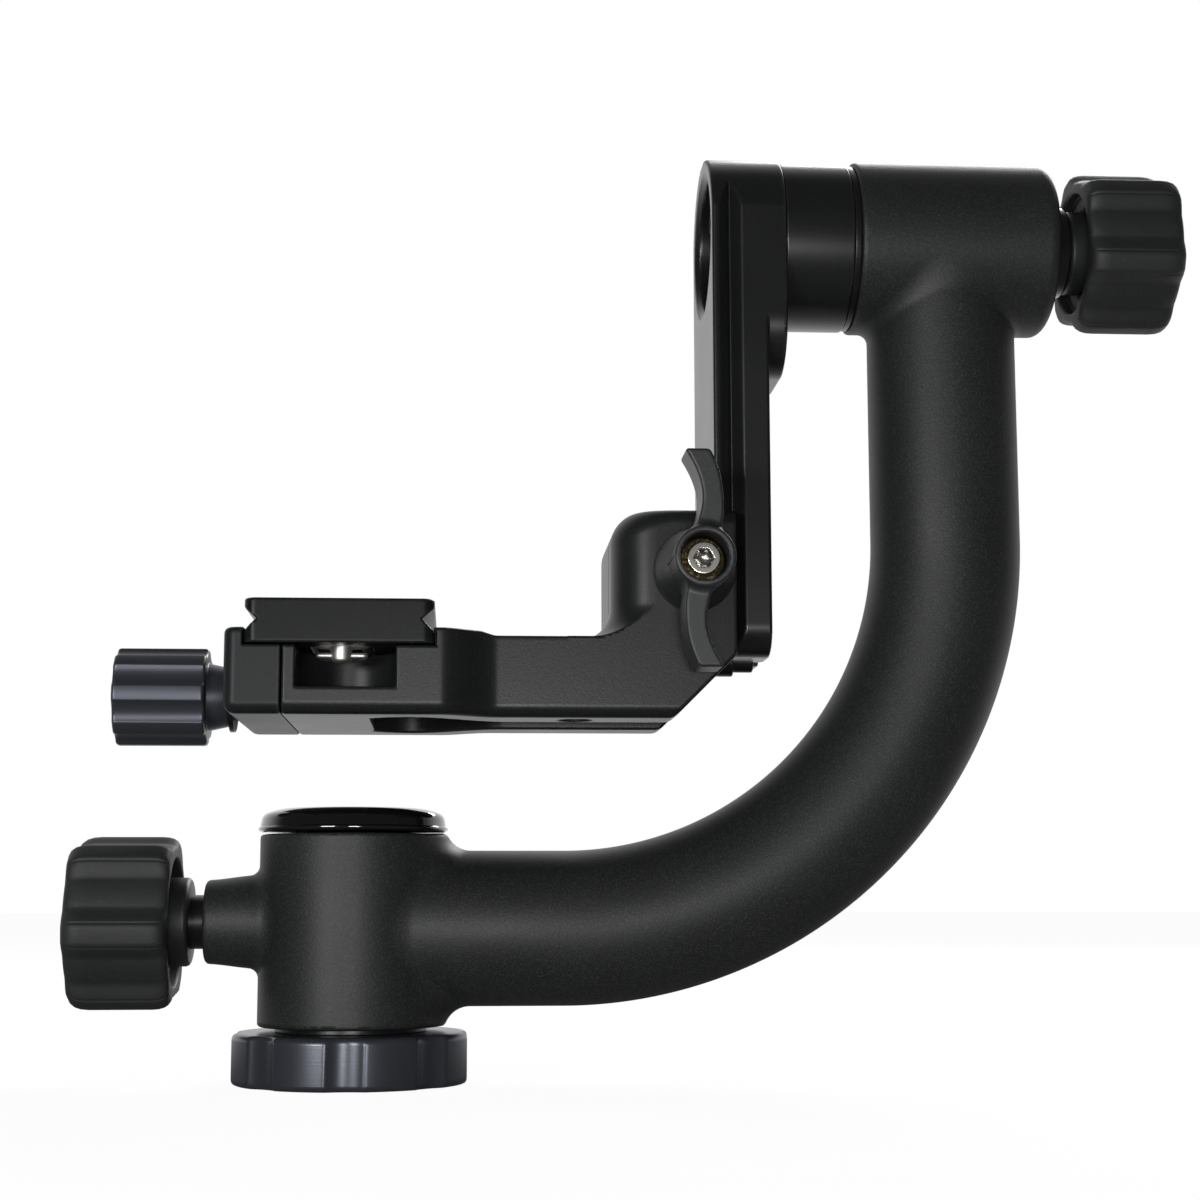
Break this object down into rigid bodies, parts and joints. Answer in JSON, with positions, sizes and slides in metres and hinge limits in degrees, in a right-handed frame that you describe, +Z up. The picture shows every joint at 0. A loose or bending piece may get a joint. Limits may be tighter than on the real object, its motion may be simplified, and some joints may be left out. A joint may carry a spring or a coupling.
{
  "type": "gimbal tripod head",
  "caption": "Gimbal tripod head: a bow-shaped cast arm pans on a fluted base, and a swing arm with a sliding quick-release cradle tilts on it.",
  "frame": {"origin": "on the pan axis at the base's underside, where the tripod's plate meets it", "axes": "+Z up along the pan axis, +X from the pan axis towards the tilt housing, -Y is the side of the wing knob"},
  "size_m": [0.2372, 0.0745, 0.1999],
  "materials": {
    "cast_coat": "cast aluminium with a fine textured black powder coat",
    "satin_anodised": "satin black anodised",
    "blue_anodised": "smooth blue-black anodised",
    "gloss_black": "gloss black enamel",
    "grip_rubber": "matt moulded rubber",
    "moulded_black": "matt glass-filled nylon",
    "stainless": "plain stainless steel",
    "black_steel": "black oxide",
    "insert_brass": "plain brass",
    "bearing_bronze": "sintered bronze"
  },
  "bodies": {
    "base": {"base_disc": "blue_anodised", "tripod_stud_insert": "stainless", "pan_spindle": "black_steel", "pan_thrust_washer": "black_steel", "top_cap": "gloss_black", "cap_screw": "black_steel"},
    "bow": {"bow_casting": "cast_coat", "lower_pan_bearing": "bearing_bronze", "upper_pan_bearing": "bearing_bronze", "inner_tilt_bearing": "bearing_bronze", "outer_tilt_bearing": "bearing_bronze"},
    "pan_lock": {"pan_brake_pad": "bearing_bronze"},
    "pan_knob": {"pan_lock_stud": "black_steel", "pan_knob_core": "moulded_black", "pan_knob_grip": "grip_rubber"},
    "swing": {"swing_arm": "satin_anodised", "stop_pin": "black_steel", "tilt_axle": "black_steel", "axle_screw_1": "black_steel", "axle_screw_2": "black_steel", "axle_screw_3": "black_steel", "axle_screw_4": "black_steel", "tilt_collar": "satin_anodised", "tilt_seal_ring": "black_steel"},
    "tilt_lock": {"tilt_thrust_washer": "gloss_black"},
    "tilt_knob": {"tilt_knob_core": "moulded_black", "tilt_knob_grip": "grip_rubber"},
    "cradle": {"cradle": "cast_coat", "rear_jaw_dowel": "stainless", "underside_screw": "stainless"},
    "rear_jaw": {"rear_clamp_jaw": "cast_coat"},
    "wing_knob": {"wing_knob": "moulded_black", "wing_clamp_stud": "black_steel", "wing_knob_insert": "insert_brass", "wing_knob_screw": "stainless"},
    "clamp_jaw": {"moving_clamp_jaw": "satin_anodised", "front_jaw_guide_pin": "stainless", "rear_jaw_guide_pin": "stainless"},
    "clamp_knob": {"clamp_knob": "blue_anodised", "clamp_screw": "black_steel", "clamp_knob_washer": "black_steel"},
    "plate": {"camera_plate": "satin_anodised"},
    "camera_screw": {"camera_screw": "stainless"},
    "screw_ring": {"camera_screw_ring": "stainless"}
  },
  "joints": [
    {"name": "pan", "type": "hinge", "parent": "base", "child": "bow", "pos_m": [0, 0, 0.03], "axis": [0, 0, 1], "continuous": true},
    {"name": "pan_lock_slide", "type": "slide", "parent": "bow", "child": "pan_lock", "axis": [-1, 0, 0], "range_m": [0, 0.00187]},
    {"name": "pan_knob_turn", "type": "hinge", "parent": "pan_lock", "child": "pan_knob", "pos_m": [-0.045, 0, 0.0332], "axis": [-1, 0, 0], "range_deg": [0, 540]},
    {"name": "tilt", "type": "hinge", "parent": "bow", "child": "swing", "pos_m": [0.1, 0, 0.181], "axis": [1, 0, 0], "continuous": true},
    {"name": "tilt_lock_slide", "type": "slide", "parent": "swing", "child": "tilt_lock", "axis": [1, 0, 0], "range_m": [0, 0.00187]},
    {"name": "tilt_knob_turn", "type": "hinge", "parent": "tilt_lock", "child": "tilt_knob", "pos_m": [0.165, 0, 0.181], "axis": [1, 0, 0], "range_deg": [0, 540]},
    {"name": "cradle_height", "type": "slide", "parent": "swing", "child": "cradle", "axis": [0, 0, 1], "range_m": [0, 0.06]},
    {"name": "rear_jaw_slide", "type": "slide", "parent": "cradle", "child": "rear_jaw", "axis": [0, 1, 0], "range_m": [0, 0.002]},
    {"name": "wing_knob_turn", "type": "hinge", "parent": "cradle", "child": "wing_knob", "pos_m": [0.0701, -0.035, 0.1046], "axis": [0, -1, 0], "range_deg": [0, 720]},
    {"name": "clamp_slide", "type": "slide", "parent": "cradle", "child": "clamp_jaw", "axis": [-1, 0, 0], "range_m": [0, 0.00375]},
    {"name": "clamp_knob_turn", "type": "hinge", "parent": "clamp_jaw", "child": "clamp_knob", "pos_m": [-0.04, 0, 0.0803], "axis": [-1, 0, 0], "range_deg": [0, 1080]},
    {"name": "plate_slide", "type": "slide", "parent": "cradle", "child": "plate", "axis": [0, -1, 0], "range_m": [0, 0.02]},
    {"name": "camera_screw_turn", "type": "hinge", "parent": "plate", "child": "camera_screw", "pos_m": [-0.002, -0.02, 0.09], "axis": [0, 0, 1], "continuous": true},
    {"name": "ring_fold", "type": "hinge", "parent": "camera_screw", "child": "screw_ring", "pos_m": [-0.002, -0.02, 0.0871], "axis": [-1, 0, 0], "range_deg": [0, 90]}
  ],
  "couplings": [
    {"joint": "pan_lock_slide", "follows": "pan_knob_turn", "m_per_rad": 0.00019894},
    {"joint": "tilt_lock_slide", "follows": "tilt_knob_turn", "m_per_rad": 0.00019894},
    {"joint": "rear_jaw_slide", "follows": "wing_knob_turn", "m_per_rad": 0.00015915},
    {"joint": "clamp_slide", "follows": "clamp_knob_turn", "m_per_rad": 0.00019894}
  ]
}
